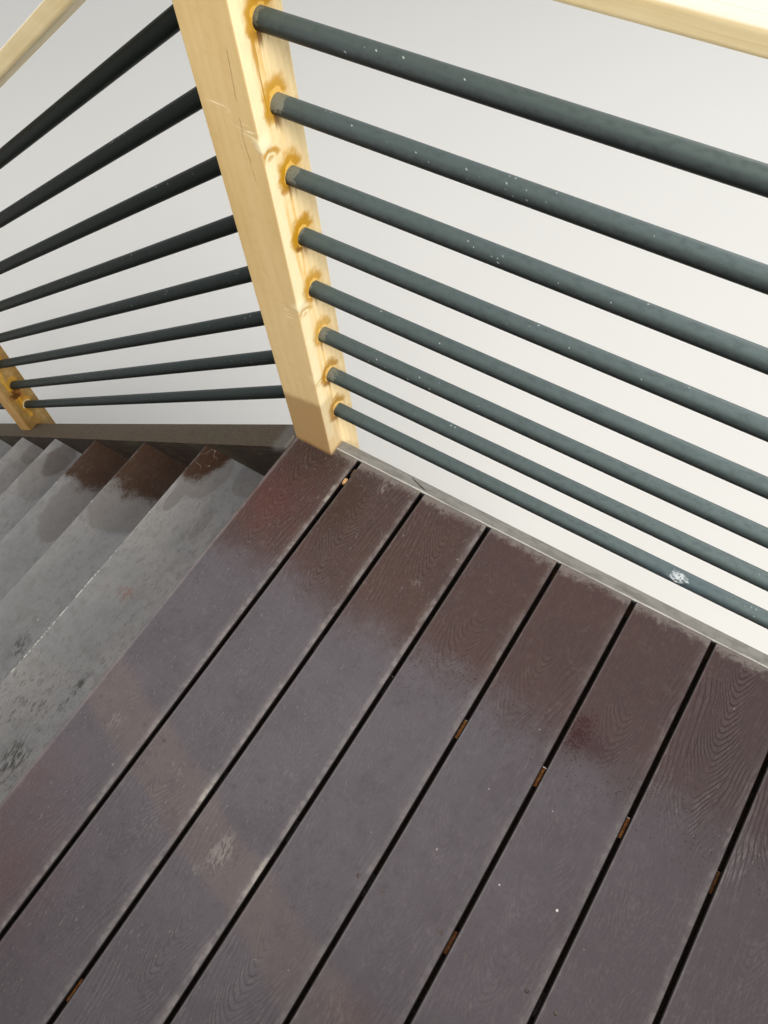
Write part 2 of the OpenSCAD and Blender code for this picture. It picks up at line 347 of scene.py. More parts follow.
deckLook = {
    "dry": "#5f595e", "damp": "#513e3a", "redder": "#5e3730", "brown": "#402f24", "groove": "#2e2120",
    "chalk": "#9c958e", "pale": "#8d8582", "warm": "#746760", "dark": "#34191a", "deep": "#423a3d",
    "gapEdgeShade": "#120c0b", "bright": "#b3aba2", "white": "#d8d2cc",
    # nested flames: spacing along the board, rise of their arms, roundness of their tips, side lines
    "flamePitch": 0.0135, "armRise": 2.6, "tipRound": 0.01, "sidePitch": 0.0078, "sideLean": 17.0,
    # places on the deck's top: middle, reach, strength
    "flamePlaces": ((0.9, 0.5, 0.34, 0.26, 1.0), (1.78, 0.44, 0.26, 0.24, 1.5),
                    (1.38, 0.36, 0.3, 0.09, 0.7), (1.2, -0.36, 0.24, 0.2, 0.6),
                    (0.8, -0.8, 0.5, 0.2, 0.5), (1.9, -0.3, 0.4, 0.3, 0.5),
                    (0.93, -0.2, 0.2, 0.26, 0.35)),
    "redPost": ((0.785, 0.44, 0.15, 0.14, 1.0),),
    "brownPost": ((0.81, 0.6, 0.18, 0.16, 1.0), (0.9, 0.5, 0.06, 0.14, 1.0)),
    "redPlaces": ((0.68, -0.42, 0.36, 0.36, 1.0), (1.6, -0.4, 0.3, 0.26, 0.8)),
    "redSpot": ((1.4, -0.215, 0.09, 0.06, 0.8),),
    "soaks": ((1.482, 0.325, 0.034, 0.048, 1.0), (1.515, 0.318, 0.055, 0.034, 0.6)),
    "whiteSpots": ((1.572, 0.072, 0.0024, 0.0024, 0.9), (1.75, 0.034, 0.003, 0.003, 0.9),
                   (1.483, 0.057, 0.0015, 0.0015, 0.9)),
    "brightEdges": ((1.018, -0.085, 0.02, 0.045, 0.75), (1.164, -0.13, 0.02, 0.05, 0.75),
                    (0.868, 0.5, 0.02, 0.04, 0.75)),
    "rubs": ((1.092, -0.138, 0.028, 0.05, 1.0), (1.075, -0.178, 0.013, 0.015, 0.6),
             (0.802, -0.066, 0.02, 0.03, 0.55), (0.942, -0.076, 0.024, 0.014, 0.4),
             (0.97, -0.165, 0.034, 0.045, 0.3), (0.945, 0.115, 0.03, 0.03, 0.25),
             (1.105, 0.02, 0.04, 0.012, 0.25), (1.112, 0.418, 0.022, 0.011, 0.5),
             (0.795, 0.262, 0.007, 0.006, 0.7), (0.952, 0.562, 0.016, 0.035, 0.9),
             (1.075, 0.57, 0.03, 0.016, 0.6), (1.36, -0.22, 0.05, 0.03, 0.25)),
}


def makeDeckMaterial(look):
    made = surfaceFinish("compositeDecking", look)
    where = made.where
    x, y, z = where.split()
    cell = (x - boardLow[0]) / boardPitch
    index = calc("FLOOR", cell)
    across = (cell - index) * boardPitch - boardWidth / 2
    luck = (index + 3).chance()
    otherLuck = (index + 41).chance()
    cloud = where.noise(8, 3, 0.6)
    mottle = where.noise(60, 3, 0.7)
    grain = where.noise(330, 2, 0.6)

    # embossed flames nested along each board, long lines beside them, and the fibres that break them up
    local = join(across, y + luck * 0.3, luck * 9)
    flow = local.stretch((1, 0.5, 1)).noise(9, 2, 0.5)
    fibre = local.noise((560, 40, 1), 3, 0.65)
    off = across + luck.spread(0.03) + flow.spread(0.04)
    aside = calc("SQRT", off * off + look["tipRound"] ** 2)
    stray = local.stretch((1, 0.4, 1), (3, 0, 0)).noise(34, 2, 0.5)
    wobble = flow.spread(2.4) + stray.spread(1.9) + mottle.spread(0.4)
    tipPhase = (y - aside * look["armRise"]) * (1 / look["flamePitch"]) + wobble
    sidePhase = aside * (1 / look["sidePitch"]) + y * -look["sideLean"] + wobble * 0.6
    tips = calc("SINE", tipPhase * (2 * pi)).fade(0.2, 1) * aside.fall(0.026, 0.044)
    sides = calc("SINE", sidePhase * (2 * pi)).fade(0.2, 1) * aside.fade(0.022, 0.04) * 0.7
    lines = most(tips, sides) * fibre.fade(0.25, 0.6, 0.35, 1) * stray.fade(0.36, 0.6, 0.25, 1)

    def spots(name, soft, drift=0):
        return patches(where, look[name], deckTop, soft, drift)

    places = spots("flamePlaces", 0.45, cloud.spread(0.5))
    flames = lines * most(0.09, *places) * (cloud + otherLuck.spread(0.1)).fade(0.34, 0.52, 0.55, 1)

    # damp near the posts, drier and greyer beyond a soft line that breaks into grains; the grey of the
    # drier part is partly a painted sky reflection
    edge = y + cloud.spread(0.13) + mottle.spread(0.05) + grain.spread(0.08)
    damp = edge.fade(0.25, 0.355)
    drift = cloud.spread(0.9) + mottle.spread(0.3) + grain.spread(0.3)
    reds = most(*spots("redPlaces", 0.95, drift), *spots("redSpot", 0.9, drift))
    soak = most(*spots("soaks", 0.9, grain.spread(2.6) + mottle.spread(1.4)))
    # a painted streak of warm light across the boards
    streak = y + (x - 0.73) * 0.33 + cloud.spread(0.05)
    sun = streak.fade(-0.075, -0.055) * streak.fall(0.015, 0.04) * x.fall(1.3, 1.7)

    made.ground(damp, "dry", "damp")
    made.coat("redder", most(*spots("redPost", 0.95, drift)) * 0.7)
    made.coat("brown", most(*spots("brownPost", 0.9, drift)) * 0.85)
    made.coat("redder", reds * 0.5)
    # painted warm light streak
    made.coat("warm", sun * 0.42)
    made.coat("deep", luck * 0.1)
    made.coat("deep", (x - y * 0.4).fade(1.05, 1.9, 0, 0.92))
    made.coat("deep", cloud.fade(0.42, 0.68, 0, 0.24))
    made.coat("deep", mottle.fade(0.5, 0.72, 0, 0.28))
    made.coat("pale", mottle.fade(0.3, 0.44, 0.08, 0))
    made.coat("pale", fibre.fade(0.48, 0.8, 0, 0.1))
    made.coat("pale", grain.fade(0.54, 0.78) * x.fade(1, 1.4, 0.2, 0.09))
    made.coat("groove", flames * 0.58)
    between = lines.fall(0, 0.12) * most(0.25, *places) * fibre.fade(0.42, 0.62)
    made.coat("pale", between * stray.fade(0.4, 0.6) * blend(damp, 0.32, 0.07))
    dashes = join(x + flow.spread(0.03) + y * 0.12, y, z).noise((310, 62, 1), 2, 0.55)
    dashes = (dashes.fade(0.62, 0.7) * (mottle + cloud.spread(0.5)).fade(0.44, 0.6)
              * grain.fade(0.35, 0.55, 0.3, 1))
    made.coat("chalk", dashes * x.fade(1.05, 1.35, 0.34, 0.05))
    made.coat("dark", soak * 0.92)
    spatter = grain.fade(0.62, 0.7) * edge.fade(0.19, 0.27) * edge.fall(0.32, 0.42)
    made.coat("dark", spatter * x.fade(1.02, 1.22) * 0.9)
    dots = useGroup(specks, Where=where, Scale=40, Size=0.06, Share=0.14)
    made.coat("chalk", dots["Mask"] * dots["Tone"].fade(0.3, 1, 0.1, 0.8))
    made.coat("white", most(*spots("whiteSpots", 0.4)))

    # chalky wear at the boards' left edges along the gaps, at the ends and in a few rubbed places, and a
    # painted sky reflection on the boards' right edges
    slow = where.noise((8, 9, 1), 2)
    edgeDrift = slow.spread(0.004) + mottle.spread(0.004)
    toRight = boardWidth / 2 - across
    toLeft = across + boardWidth / 2
    nearStair = x.fade(1.16, 1.36, 1, 0.3)
    rightEdgeSheen = (toRight + edgeDrift).fall(0.005, 0.0125) * mottle.fade(0.4, 0.56, 1, 0.35)
    wideEdgeSheen = ((toRight + edgeDrift + grain.spread(0.006)).fall(0.008, 0.022) * nearStair
                * slow.fade(0.4, 0.62))
    leftWear = (toLeft + edgeDrift).fall(0.001, 0.0065)
    endGap = fasciaY - 0.0015 - abs(y)
    endDrift = mottle.spread(0.045) + grain.spread(0.03) + slow.spread(0.02)
    endWear = (endGap + endDrift).fall(0, 0.02)
    strokes = join(x + y * 0.22, y, z).noise((215, 72, 1), 2, 0.5)
    rubPlace = most(*spots("rubs", 0.9, mottle.spread(0.6)))
    rubs = (strokes + rubPlace * 0.09).fade(0.52, 0.6) * rubPlace * grain.fade(0.3, 0.55, 0.55, 1)
    # painted highlight: pale sky reflection on the boards' right edges along the gaps, wider near the stair
    # and brighter in a few places
    made.coat("pale", wideEdgeSheen * 0.22)
    made.coat("pale", rightEdgeSheen * nearStair * slow.fade(0.35, 0.65, 0.5, 0.85))
    made.coat("bright", rightEdgeSheen * most(*spots("brightEdges", 0.8)))
    made.coat("pale", leftWear * slow.fade(0.3, 0.6, 0.25, 0.5))
    made.coat("chalk", endWear * 0.45)
    made.coat("chalk", rubs * 0.5)
    # painted shade where the eased board edges fall into the gaps
    gapEdgeShade = most(toRight.fall(0.0013, 0.0025), toLeft.fall(0.0018, 0.0032))
    made.coat("gapEdgeShade", gapEdgeShade * (x > noseX + 0.02))

    height = flames * -1 + fibre * 0.35 + grain * 0.3
    roughness = blend(damp, 0.46, 0.36) + endWear * 0.2 + mottle * 0.08
    return made.done(roughness, height, 0.0003, 0.25)


treadLook = {
    "dry": "#979492", "green": "#8c8c8c", "damp": "#412b1c", "halfDamp": "#716a66", "pale": "#b0ada8",
    "chip": "#e4e2da", "rust": "#a0705c", "blot": "#686661", "wetGrain": "#6a4f3a", "nosingLightAndShadow": "#3b3935",
    "curl": "#a39583", "treadBackLight": "#b9b7b7", "smudge": "#4b4943",
    # damp and half-damp places and dark smudges: middle, reach, strength
    "damps": ((0.47, 0.535, 0.068, 0.1, 1.0), (0.245, 0.56, 0.3, 0.178, 1.0),
              (-0.04, 0.56, 0.3, 0.182, 1.0), (-0.302, 0.49, 0.05, 0.08, 0.5),
              (-0.56, 0.52, 0.04, 0.07, 0.3)),
    "halfDamps": ((0.483, 0.4, 0.016, 0.05, 0.8), (0.5, 0.49, 0.062, 0.085, 0.7),
                  (0.265, 0.365, 0.11, 0.095, 0.8), (0.0, 0.345, 0.075, 0.14, 0.8),
                  (-0.3, 0.415, 0.075, 0.105, 0.55), (-0.55, 0.4, 0.06, 0.1, 0.35),
                  (0.61, 0.52, 0.045, 0.06, 0.5), (0.58, 0.365, 0.012, 0.045, 0.45)),
    "smudges": ((0.585, -0.225, 0.035, 0.065, 0.75), (0.598, -0.06, 0.01, 0.07, 0.75),
                (0.3, -0.05, 0.03, 0.05, 0.75), (0.05, 0.16, 0.05, 0.03, 0.75),
                (0.4, 0.02, 0.03, 0.04, 0.75)),
    # a rusty place, the most chipped nosing and a looping scratch: middle, reach
    "rustAt": ((0.545, 0.155, 1.93), (0.04, 0.05, 1)),
    "chippedAt": ((0.455, 0.06, 1.93), (0.05, 0.22, 1)),
    "curlAt": ((0.482, 0.508, 1.93), (0.026, 0.036, 1)),
}


def makeTreadMaterial(look):
    made = surfaceFinish("weatheredTread", look)
    where = made.where
    x, y, z = where.split()
    step = (noseX - x) / run
    index = calc("CEIL", step)
    front = (index - step) * run   # distance back from the tread's nosing
    luck = index.chance()
    cloud = where.noise(6, 3, 0.6)
    mottle = where.stretch((1, 0.6, 1)).noise(70, 4, 0.75)
    grain = where.noise(300, 2, 0.6)
    fibre = where.noise((480, 14, 480), 3, 0.65)
    lobes = where.stretch((1, 1, 0), (2, 7, 0)).noise(26, 2, 0.5)
    drift = cloud.spread(0.5) + lobes.spread(0.4) + mottle.spread(0.22) + grain.spread(0.3)
    made.ground(cloud.fade(0.36, 0.66), "dry", "green")
    made.coat("blot", luck * 0.1)
    # painted light: the back of each tread lighter, lifting it out of the shade of the step above
    made.coat("treadBackLight", front.fade(0.05, 0.16, 0, 0.45))
    made.coat("blot", lobes.fade(0.48, 0.66, 0, 0.2))
    made.coat("blot", mottle.fade(0.48, 0.7, 0, 0.4))
    made.coat("pale", mottle.fade(0.28, 0.44, 0.1, 0))
    made.coat("pale", fibre.fade(0.5, 0.8, 0, 0.3))
    made.coat("blot", grain.fade(0.52, 0.78, 0, 0.35))

    def dampness(places, soft):
        # each damp place stays on the tread that holds its middle
        masks = []
        for place, mask in zip(places, patches(where, places, 1.6, soft, drift, 9)):
            masks.append(mask * calc("COMPARE", index, int((noseX - place[0]) / run) + 1, 0.5))
        return most(*masks)

    half = dampness(look["halfDamps"], 0.12)
    wet = dampness(look["damps"], 0.2)
    made.coat("halfDamp", half * 0.75)
    made.coat("damp", wet * mottle.fade(0.2, 0.45, 0.8, 0.97))
    made.coat("wetGrain", wet * fibre.fade(0.55, 0.8) * 0.4)

    # dark blotches in drifts, and short scratches
    blotNoise = join(x + y * 0.15, y, z).stretch((1, 0.3, 1), (4, 0, 0)).noise(190, 3, 0.7)
    spots = ((blotNoise + lobes.spread(-0.22) + cloud.spread(-0.25)).fade(0.58, 0.66)
             * grain.fade(0.35, 0.55, 0.3, 1))
    made.coat("blot", spots * y.fade(-0.2, 0.15, 0.8, 0.32))
    smudge = most(*patches(where, look["smudges"], 1.9, 0.8, drift * 1.5))
    made.coat("smudge", smudge * blotNoise.fade(0.42, 0.58))
    scratchNoise = join(x + y * 0.25, y, z).noise((640, 22, 1), 2, 0.6)
    scratches = scratchNoise.fade(0.66, 0.72) * blotNoise.fade(0.3, 0.5, 1, 0.2)
    made.coat("pale", scratches * 0.32)
    paleDots = useGroup(specks, Where=where.stretch((1, 0.7, 1), (5, 2, 0)), Scale=38, Size=0.075,
                        Share=0.1)
    made.coat("chip", paleDots["Mask"] * blend(paleDots["Tone"], 0.2, 0.8))
    rust = where.patch(*look["rustAt"], 0.9, mottle.spread(2))
    made.coat("rust", rust * mottle.fade(0.47, 0.6) * 0.55)

    # paint chips, and along the nosings a pale painted highlight and a thin dark painted shadow line
    chipNoise = where.noise((1, 95, 1), 2, 0.7)
    chipPlace = where.patch(*look["chippedAt"], 0.5, cloud.spread(0.8))
    chipAmount = blend(chipPlace, 0.68, 0.5)
    chips = front.fall(0.0025, 0.0045) * (chipNoise - chipAmount).fade(0, 0.03)
    nosingLightAndShadow = front.fall(0.0025, 0.007) * chipNoise.fade(0.35, 0.6, 0.2, 1)
    made.coat("pale", nosingLightAndShadow * 0.22)
    made.coat("nosingLightAndShadow", front.fall(0.001, 0.002) * 0.5)
    made.coat("chip", chips * 0.85)

    # one thin looping scratch near the first tread's end
    curl = where.stretch((1, 0.7, 1)).noise(34, 1, 0.3, 0.6)
    loop = abs(curl - 0.5).fall(0.005, 0.014)
    loopPlace = where.patch(*look["curlAt"], 0.3)
    made.coat("curl", loop * loopPlace * 0.7)

    height = fibre * 0.6 + mottle * 0.6 + spots * -0.4 + grain * 0.3
    roughness = blend(wet, 0.66, 0.34) + half * -0.1 + mottle * 0.1
    return made.done(roughness, height, 0.0005, 0.22)


stringerLook = {
    "top": "#5e5142", "inside": "#211712", "outside": "#43392f", "pale": "#857a69", "dark": "#30261e",
    "green": "#4e4e3c", "ring": "#261d18", "end": "#7d7a74",
}


def makeStringerMaterial(look):
    made = surfaceFinish("weatheredStringer", look)
    where = made.where
    x, y, z = where.split()
    topZ = deckTop + 0.005 + (x - noseX) * slope
    depth = topZ - z
    sideways = abs(y)
    lengthwise = x * cos(slant) + z * sin(slant)
    grainAt = join(depth * cos(slant), sideways, lengthwise)
    rings, fibre = grainAt.shift(0.05, -0.45, 0).figure(0.006, 0.015, 0.04)
    mottle = where.noise(90, 4, 0.7)
    made.ground(sideways.fall(stringerY - 0.062, stringerY - 0.0605), "outside", "inside")
    made.coat("top", depth.fall(0.0006, 0.0016))
    made.coat("dark", mottle.fade(0.42, 0.62, 0, 0.72))
    made.coat("pale", fibre.fade(0.5, 0.8) * 0.38)
    made.coat("ring", rings * 0.16)
    arris = depth.fall(0, 0.005) * mottle.fade(0.5, 0.62)
    made.coat("pale", arris * 0.35)
    # a grey end beside the landing
    greyEnd = (x + mottle.spread(0.02)).fade(noseX - 0.055, noseX - 0.03) * depth.fall(0, 0.03)
    made.coat("end", greyEnd * 0.6)
    made.coat("green", where.noise(5, 2).fade(0.5, 0.75, 0, 0.3))
    height = fibre * 0.7 + mottle * 0.5 + rings * -0.3
    return made.done(mottle.fade(0.3, 0.8, 0.62, 0.8), height, 0.0006, 0.18)


fasciaLook = {
    "face": "#8b8882", "pale": "#dedad2", "dark": "#5f5c55", "split": "#3a2f26", "crack": (1.005, 0.6),
}


def makeFasciaMaterial(look):
    made = surfaceFinish("greyFascia", look)
    where = made.where
    x, y, z = where.split()
    sideways = abs(y)
    grainAt = join(deckTop - z, sideways, x)
    rings, fibre = grainAt.shift(-0.1, -0.63, 0).figure(0.007, 0.012, 0.03)
    mottle = where.stretch((0.5, 1, 1)).noise(80, 4, 0.6)
    slow = where.noise(7, 2)
    made.ground(mottle.fade(0.4, 0.7, 0, 0.5), "face", "dark")
    made.coat("pale", fibre.fade(0.5, 0.8) * 0.3)
    made.coat("dark", rings * 0.15)
    wear = useGroup(edgeWear, Distance=sideways - fasciaY, Width=0.004,
                    Drift=slow.spread(0.006) + mottle.spread(0.002))["Mask"]
    made.coat("pale", wear * (deckTop - z).fall(0.002, 0.006) * 0.75)
    # a dark split that runs at a slant through the top edge
    cx, cy = look["crack"]
    offLine = abs(y - cy + (x - cx) * 0.3 + mottle.spread(0.004))
    crack = offLine.fall(0.0006, 0.0016) * abs(x - cx).fall(0.014, 0.022)
    made.coat("split", crack * 0.9)
    height = fibre * 0.5 + mottle * 0.3 + crack * -3
    return made.done(mottle.fade(0.3, 0.8, 0.55, 0.7), height, 0.0005, 0.2)


postLook = {
    "wood": "#d3b681", "cloudy": "#c9aa72", "bright": "#ffe6b2", "late": "#b58c50", "fibre": "#a98550",
    "stain": "#bd8803", "deepStain": "#6f4408", "hollow": "#452405", "glow": "#a5601a", "olive": "#6a5528",
    "seal": "#e6dcc0", "low": "#e4c795", "oldStain": "#a67b3b", "base": "#9c7a4e", "knot": "#7a4e20",
    "check": "#8a6d42", "amber": "#e9b01f", "lit": "#fff4cc", "swirl": "#f0e0ba", "grime": "#6f4a20",
    # arcs left by small knots beside the arris: height, strength
    "arcs": ((2.806, 1.0), (2.516, 0.7), (2.336, 0.5)),
    # the arcs' half height and half width, and how far they lie from the arris
    "arcSize": (0.012, 0.017), "arcAside": 0.013,
    # pale swirls on the inner face: middle along X and Z, reach
    "swirls": ((0.76, 2.872, 0.024, 0.012), (0.8, 2.85, 0.022, 0.012), (0.797, 2.515, 0.01, 0.022)),
    # knots: middle, with its Y counted from the arris, and size
    "knots": ((-0.63, 0.006, 1.345, 0.02), (-0.66, 0.0, 1.52, 0.014), (-2.1, 0.031, 0.9, 0.02),
              (2.14, 0.031, 2.6, 0.02)),
    # the knot hollow, the glow round it and the long drip on the corner post: middle, reach
    "hollowAt": ((-0.6203, 0.598, 1.352), (0.03, 0.023, 0.025)),
    "glowAt": ((-0.6203, 0.602, 1.352), (0.03, 0.03, 0.048)),
    "dripAt": ((0, 0.594, 2.915), (1, 0.009, 0.085)),
    # two long checks in one bent line: its X and the height of the bend, then where each starts and ends
    "crackAt": (0.792, 2.83),
    "crackRuns": ((2.755, 2.775, 2.862, 2.868), (2.886, 2.894, 2.945, 2.96)),
    "footHeight": 0.158,
}


def makePostMaterial(look):
    made = surfaceFinish("palePost", look)
    where = made.where
    x, y, z = where.split()
    sideways = abs(y)
    rings, fibre = join(x - (postX + 0.11), sideways - (postY + 0.05), z).figure(0.0105, 0.018, 0.08)
    cloud = where.stretch((1, 1, 0.25)).noise(16, 3)
    fine = where.noise(70, 3)
    made.ground(cloud.fade(0.35, 0.7), "wood", "cloudy")
    normal = made.normal()
    facing = normal[0].fade(0.4, 0.9)
    made.coat("low", z.fade(2.36, 2.75, 0.5, 0))
    # painted light: the +X faces lighter, most toward the stairs, as if lit from that side
    made.coat("bright", facing * x.fade(1, 1.6, 0.85, 0.35))
    made.coat("late", rings * 0.09)
    made.coat("fibre", fibre.fade(0.5, 0.8) * 0.16)
    made.coat("late", fine.fade(0.5, 0.75) * 0.14)
    made.coat("oldStain", (x < postX - 0.4) * cloud.fade(0.3, 0.6, 0.72, 1))
    # painted shade on the stair posts' +X faces
    made.coat("olive", (x < postX - 0.4) * facing * fine.fade(0.3, 0.6, 0.4, 0.62))

    # amber stains where the pipes go in: height above the nearest pipe, along the slope on the stair side
    down = calc("MINIMUM", x - (postX - postHalf), 0)
    level = z - lowPipeZ - down * slope
    turn = level / pipePitch
    number = calc("ROUND", turn)
    rungs = (number > -0.5) * (number < pipeCount - 0.5)
    luck = (number * 3.7 + calc("ROUND", x * 10)).chance()
    above = (turn - number) * pipePitch
    besides = sideways - postY
    squashed = above * above.fade(-0.006, 0.006, 1.25, 0.72)
    reach = calc("SQRT", besides * besides + squashed * squashed) + fine.spread(0.018)
    bored = (x < endPostHigh[0] - 0.01) * (x > footPostLow[0] + 0.01)
    endFace = abs(normal[0]).fade(0.5, 0.8) * rungs * bored
    strong = luck.fade(0, 0.5, 0.85, 1) * number.fade(1, 4.5, 0.75, 1)
    fewerFar = abs(x - postX).fade(0.2, 0.4, 1, 0.55)
    halo = reach.fall(0.016, 0.032) * endFace * strong * fewerFar
    patchy = cloud.fade(0.36, 0.58, 0.75, 1)
    # thickest over the pipe and down its inner side
    upperSide = most(above.fade(0.002, 0.012), besides.fade(-0.004, -0.012))
    ring = (reach.fade(0.014, 0.016) * reach.fall(0.02, 0.032) * endFace * strong * patchy
            * upperSide.fade(0, 1, 0.25, 1) * fewerFar)
    streaks = where.noise((1, 110, 7), 2)
    drip = streaks.fade(0.48, 0.64) * abs(besides + 0.014).fall(0.004, 0.018) * endFace
    onLanding = x > postX - 0.2
    under = (abs(besides).fall(0.006, 0.014) * above.fade(-0.045, -0.018) * above.fall(-0.014, -0.01)
             * streaks.fade(0.42, 0.6) * endFace)
    arris = besides.fall(-0.03, -0.016) * endFace * onLanding
    # painted highlight along the arris of the landing posts' +X faces
    made.coat("lit", arris * facing * 0.6)
    longDrip = (join(0, y, z).patch(*look["dripAt"], 0.7, fine.spread(0.8))
                * where.noise((1, 260, 11), 2).fade(0.42, 0.56) * endFace)
    made.coat("amber", halo * upperSide.fade(0, 1, 0.3, 0.75))
    made.coat("amber", drip * 0.55)
    made.coat("stain", ring * 0.95)
    made.coat("deepStain", ring * number.fade(0.5, 2.5, 0.5, 0) * onLanding)
    made.coat("deepStain", ring * above.fade(-0.002, -0.012) * luck.fade(0.2, 0.9, 0.1, 0.8))
    made.coat("stain", longDrip * 0.85)
    darkDrip = (abs(besides + 0.006 + fine.spread(0.008)).fall(0.002, 0.006) * above.fade(-0.034, -0.02)
                * above.fall(-0.012, -0.008) * endFace * number.fade(4.5, 5.5))
    made.coat("deepStain", darkDrip * 0.85)
    made.coat("deepStain", under * 0.65)
    seal = (reach.fade(0.013, 0.014) * reach.fall(0.016, 0.0175) * endFace * (number < 0.5)
            * (1 - onLanding))
    made.coat("seal", seal * 0.8)
    # a hollow where a knot fell out of the stair post; its dark colour is painted shade inside it
    hollowDrift = fine.spread(1.8)
    hollow = where.patch(*look["hollowAt"], 0.5, hollowDrift)
    made.coat("glow", where.patch(*look["glowAt"], 0.8, hollowDrift) * 0.65)
    made.coat("hollow", hollow * 0.9)

    # crescents beside the arris under a small pale swelling
    fromArris = sideways - arrisY
    folded = join(x, fromArris, z)
    arcTall, arcWide = look["arcSize"]
    swells = []
    for arcZ, amount in look["arcs"]:
        rise = (z - arcZ) * (1 / arcTall)
        aside = (fromArris - look["arcAside"]) * (1 / arcWide)
        curve = calc("SQRT", rise * rise + aside * aside) + fine.spread(0.7)
        bow = (most(curve.fade(0.55, 0.85) * curve.fall(1, 1.4), curve.fade(0.3, 0.55, 0.75, 0))
               * rise.fade(-0.5, 0.2) * facing * onLanding)
        swell = folded.patch((postX + postHalf, 0.007, arcZ + 0.026), (0.018, 0.021, 0.015), 0.9,
                             fine.spread(0.8))
        swells.append(swell * amount)
        made.coat("lit", swell * (0.9 * amount))
        made.coat("stain", bow * (0.85 * amount))

    # marks on the corner post's inner face: a pale swirl and two long checks
    inward = (normal[1] * calc("SIGN", y)).fall(-0.8, -0.5)
    swirlStripes = join(x + z * 0.6, 0, z).noise((30, 1, 330), 1, 0.4).fade(0.5, 0.6)
    swirl = most(*[where.patch((cx, arrisY, cz), (rx, 1.5, rz), 0.8, fine.spread(1))
                   for cx, cz, rx, rz in look["swirls"]])
    made.coat("swirl", swirl * swirlStripes * inward * 0.8)
    crackX, crackZ = look["crackAt"]
    offCrack = abs(x - (crackX + abs(z - crackZ) * 0.07 + fine.spread(0.0045)))
    crackRun = most(*[z.fade(a, b) * z.fall(c, d) for a, b, c, d in look["crackRuns"]])
    crack = offCrack.fall(0.0002, 0.0009) * crackRun * inward * fine.fade(0.35, 0.55, 0.3, 1)

    # knots, as dark hearts with bent rings
    knot = most(*[folded.patch((cx, cy, cz), (size, size, size * 1.6), 0.9, fine.spread(0.9))
                  for cx, cy, cz, size in look["knots"]])
    knotRings = 0.5 + calc("SINE", knot * 22) * 0.5
    made.coat("oldStain", knot.fade(0, 0.4) * blend(knotRings, 0.15, 0.7))
    made.coat("knot", knot.fade(0.7, 1) * 0.55)

    # drying checks elsewhere: long thin cracks on the wide faces
    crackNoise = where.noise((60, 60, 2.2), 1, 0.4)
    checks = abs(crackNoise - 0.5).fall(0, 0.008) * cloud.fade(0.6, 0.66) * (1 - facing)
    checks = most(crack, checks * 0.7)
    made.coat("check", checks * 0.36)

    # a darker foot just above the boards, and dirt where it stands on them
    footLine = z - (deckTop + look["footHeight"]) + (x - postX) * -0.15 + fine.spread(0.012)
    foot = (footLine.fall(-0.012, 0.01) * onLanding * fromArris.fall(0.03, 0.044)
            * facing.fade(0, 1, 1, 0.45))
    made.coat("base", foot * 0.82)
    grime = (z - deckTop + cloud.spread(0.02)).fall(0.001, 0.012) * fromArris.fall(0.036, 0.042)
    made.coat("grime", grime * onLanding * 0.6)
    height = fibre * 0.4 + rings * 0.35 + checks * -2 + knot * 0.5 + most(*swells) * 4 + hollow * -8
    roughness = 0.54 + fibre * 0.1
    return made.done(roughness, height, 0.0005, 0.2)


railLook = {
    "wood": "#d5c194", "late": "#b3935c", "bright": "#e0cfa8", "top": "#fff9ec", "under": "#f4e4b8",
    "fibre": "#b3935c", "slope": "#94835a",
}


def makeRailMaterial(look):
    made = surfaceFinish("paleRail", look)
    where = made.where
    x, y, z = where.split()
    sideways = abs(y)
    bend = x > postX + postHalf
    lengthwise = blend(bend, x * cos(slant) + z * sin(slant), x)
    lift = blend(bend, z * cos(slant) - x * sin(slant), z)
    grainAt = join(lift, sideways, lengthwise)
    rings, fibre = grainAt.shift(-2.9, -0.59, 0).figure(0.0062, 0.02, 0.03)
    cloud = where.stretch((0.4, 1, 1)).noise(18, 4)
    made.ground(cloud.fade(0.35, 0.7), "wood", "bright")
    upward = made.normal()[2]
    # painted light: the upper faces whiter
    made.coat("top", upward.fade(0.45, 0.95, 0, 0.9))
    made.coat("under", upward.fade(-0.75, -0.35, 0.85, 0))
    # painted shade on the stair rail's sides and underside
    made.coat("slope", (1 - bend) * upward.fade(0.3, 0.8, 0.32, 0))
    made.coat("late", rings * 0.1)
    threads = grainAt.noise((420, 420, 3), 2, 0.5)
    made.coat("fibre", threads.fade(0.48, 0.72, 0, 0.22))
    made.coat("fibre", fibre.fade(0.5, 0.8) * 0.14)
    height = fibre * 0.4 + threads * 0.3
    return made.done(cloud.fade(0.3, 0.7, 0.48, 0.6), height, 0.0004, 0.25)


framingLook = {
    "wood": "#85623d", "brown": "#74532f", "late": "#5f4227", "fibre": "#a07f57", "stain": "#4b3826",
}


def makeFramingMaterial(look):
    made = surfaceFinish("brownFraming", look)
    where = made.where
    x, y, z = where.split()
    # upright grain below the beams, lengthwise grain above
    isPost = z < beamLow + 0.0005
    along = blend(isPost, x, z)
    over = blend(isPost, z - 2.3, x - 1)
    rings, fibre = join(over, y - 0.2, along).figure(0.007, 0.02, 0.05)
    cloud = where.noise(9, 4, 0.6)
    made.ground(cloud.fade(0.35, 0.7), "wood", "brown")
    made.coat("late", rings * 0.4)
    made.coat("fibre", fibre.fade(0.5, 0.8) * 0.25)
    wet = where.stretch((3, 3, 1)).noise(2, 3).fade(0.52, 0.7)
    made.coat("stain", wet * 0.35)
    height = fibre * 0.6 + rings * 0.4
    return made.done(cloud.fade(0.3, 0.7, 0.6, 0.78), height, 0.0006, 0.2)


pipeLook = {
    "name": "slatePipe", "gloss": 0.22, "paint": "#363f3e", "deep": "#2b3332", "collar": "#8f8f80",
    "shaded": "#0e1212", "dustAndLight": "#717f7e", "under": "#0c0e0e", "fleck": "#c9d0d0", "smear": "#52626f",
    "bare": "#d9dfe2",
    # the smear and the bare place in it on the lowest pipe: X, reach
    "smearAt": (1.52, (0.12, 0.03, 0.03)), "bareAt": (1.505, (0.017, 0.011, 0.011)),
}


